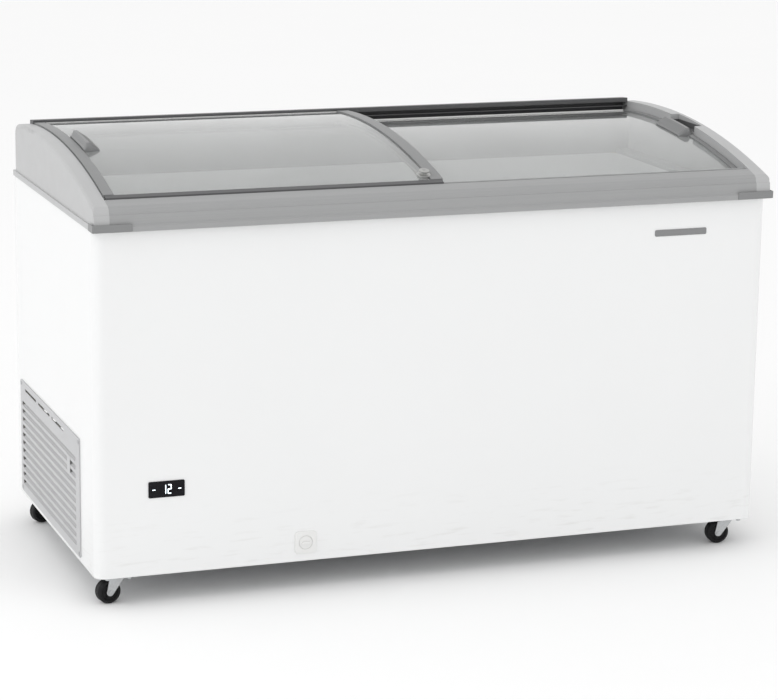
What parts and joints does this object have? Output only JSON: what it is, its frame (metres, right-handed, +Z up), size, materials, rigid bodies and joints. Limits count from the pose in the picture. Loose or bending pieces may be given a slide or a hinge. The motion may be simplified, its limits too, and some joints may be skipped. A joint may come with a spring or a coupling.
{
  "type": "chest freezer",
  "caption": "Chest freezer with curved sliding glass lids, plastic frame, lid handles and lock, side grille with condensing unit behind it, digital controller, front drain and swivel casters.",
  "frame": {"origin": "on the floor, under the centre of the freezer's overall footprint", "axes": "+X along the length to the customer's right, +Y from the front to the back, +Z up"},
  "size_m": [1.49, 0.724, 0.9159],
  "materials": {
    "enamel": "white baked enamel on sheet steel",
    "liner": "embossed stucco aluminium",
    "foam": "rigid polyurethane foam",
    "frame_plastic": "grey extruded plastic",
    "cap_plastic": "light grey moulded plastic",
    "dark_plastic": "black moulded plastic",
    "grille_plastic": "light grey moulded plastic",
    "trim_plastic": "light grey extruded plastic",
    "glass": "clear tempered glass",
    "zinc": "zinc plated steel",
    "wheel_plastic": "black nylon",
    "lock_metal": "plated metal",
    "black_enamel": "black enamel on steel",
    "copper": "copper tube",
    "rubber": "soft black rubber",
    "lens": "black glossy panel",
    "digits": "lit segments",
    "white_plastic": "white moulded plastic",
    "fin_metal": "thin aluminium fins on tube"
  },
  "bodies": {
    "cabinet": {"back_panel": "enamel", "base_panel": "zinc", "blank_badge": "trim_plastic", "caster_bolts": "zinc", "caster_plates": "zinc", "compressor": "black_enamel", "compressor_tray": "zinc", "condenser": "fin_metal", "controller_case": "dark_plastic", "controller_lens": "lens", "cord_gland": "dark_plastic", "corner_covers": "trim_plastic", "display_digits": "digits", "drain_bezel": "white_plastic", "drain_tube": "white_plastic", "evaporator_coil": "fin_metal", "fan_motor": "black_enamel", "fan_shroud": "dark_plastic", "filter_drier": "copper", "front_rail": "frame_plastic", "grille_screws": "zinc", "inner_liner": "liner", "insulation_foam": "foam", "left_end_cap": "cap_plastic", "mount_bolts": "zinc", "outer_shell": "enamel", "rear_track": "dark_plastic", "rear_upstand": "frame_plastic", "refrigerant_pipes": "copper", "relay_cover": "dark_plastic", "right_end_cap": "cap_plastic", "rubber_grommets": "rubber", "side_grille": "grille_plastic"},
    "left_lid": {"left_glass": "glass", "left_gliders": "dark_plastic", "left_end_trim": "trim_plastic", "centre_trim": "trim_plastic", "centre_seal": "rubber", "left_handle": "trim_plastic", "lock_bezel": "lock_metal"},
    "right_lid": {"right_glass": "glass", "right_gliders": "dark_plastic", "right_end_trim": "trim_plastic", "meeting_trim": "trim_plastic", "right_handle": "trim_plastic"},
    "lock": {"lock_plunger": "lock_metal"},
    "fan": {"fan_rotor": "dark_plastic"},
    "key_left": {"key_left": "lens"},
    "key_right": {"key_right": "lens"},
    "drain_cap": {"drain_cap": "white_plastic"},
    "floor_plug": {"floor_plug": "white_plastic"},
    "swivel_front_left": {"fork_front_left": "zinc"},
    "wheel_front_left": {"wheel_front_left": "wheel_plastic"},
    "swivel_front_right": {"fork_front_right": "zinc"},
    "wheel_front_right": {"wheel_front_right": "wheel_plastic"},
    "swivel_rear_left": {"fork_rear_left": "zinc"},
    "wheel_rear_left": {"wheel_rear_left": "wheel_plastic"},
    "swivel_rear_right": {"fork_rear_right": "zinc"},
    "wheel_rear_right": {"wheel_rear_right": "wheel_plastic"}
  },
  "joints": [
    {"name": "left_lid_slide", "type": "slide", "parent": "cabinet", "child": "left_lid", "axis": [1, 0, 0], "range_m": [0, 0.63]},
    {"name": "right_lid_slide", "type": "slide", "parent": "cabinet", "child": "right_lid", "axis": [-1, 0, 0], "range_m": [0, 0.63]},
    {"name": "lock_push", "type": "slide", "parent": "left_lid", "child": "lock", "axis": [0, -0.2456, 0.9694], "range_m": [-0.005, 0]},
    {"name": "fan_spin", "type": "hinge", "parent": "cabinet", "child": "fan", "pos_m": [-0.652, -0.092, 0.18], "axis": [1, 0, 0], "continuous": true},
    {"name": "key_left_press", "type": "slide", "parent": "cabinet", "child": "key_left", "axis": [0, 1, 0], "range_m": [0, 0.001], "stiffness_N_per_m": 400},
    {"name": "key_right_press", "type": "slide", "parent": "cabinet", "child": "key_right", "axis": [0, 1, 0], "range_m": [0, 0.001], "stiffness_N_per_m": 400},
    {"name": "drain_cap_pull", "type": "slide", "parent": "cabinet", "child": "drain_cap", "axis": [0, -1, 0], "range_m": [0, 0.025]},
    {"name": "floor_plug_pull", "type": "slide", "parent": "cabinet", "child": "floor_plug", "axis": [0, 0, 1], "range_m": [0, 0.03]},
    {"name": "swivel_front_left_turn", "type": "hinge", "parent": "cabinet", "child": "swivel_front_left", "pos_m": [-0.69, -0.306, 0.053], "axis": [0, 0, 1], "continuous": true},
    {"name": "wheel_front_left_roll", "type": "hinge", "parent": "swivel_front_left", "child": "wheel_front_left", "pos_m": [-0.70782, -0.30851, 0.025], "axis": [0.1392, -0.9903, 0], "continuous": true},
    {"name": "swivel_front_right_turn", "type": "hinge", "parent": "cabinet", "child": "swivel_front_right", "pos_m": [0.69, -0.306, 0.053], "axis": [0, 0, 1], "continuous": true},
    {"name": "wheel_front_right_roll", "type": "hinge", "parent": "swivel_front_right", "child": "wheel_front_right", "pos_m": [0.67218, -0.30349, 0.025], "axis": [-0.1392, -0.9903, 0], "continuous": true},
    {"name": "swivel_rear_left_turn", "type": "hinge", "parent": "cabinet", "child": "swivel_rear_left", "pos_m": [-0.69, 0.298, 0.053], "axis": [0, 0, 1], "continuous": true},
    {"name": "wheel_rear_left_roll", "type": "hinge", "parent": "swivel_rear_left", "child": "wheel_rear_left", "pos_m": [-0.70747, 0.29365, 0.025], "axis": [0.2419, -0.9703, 0], "continuous": true},
    {"name": "swivel_rear_right_turn", "type": "hinge", "parent": "cabinet", "child": "swivel_rear_right", "pos_m": [0.69, 0.298, 0.053], "axis": [0, 0, 1], "continuous": true},
    {"name": "wheel_rear_right_roll", "type": "hinge", "parent": "swivel_rear_right", "child": "wheel_rear_right", "pos_m": [0.672, 0.29769, 0.025], "axis": [0.0175, -0.9998, 0], "continuous": true}
  ]
}
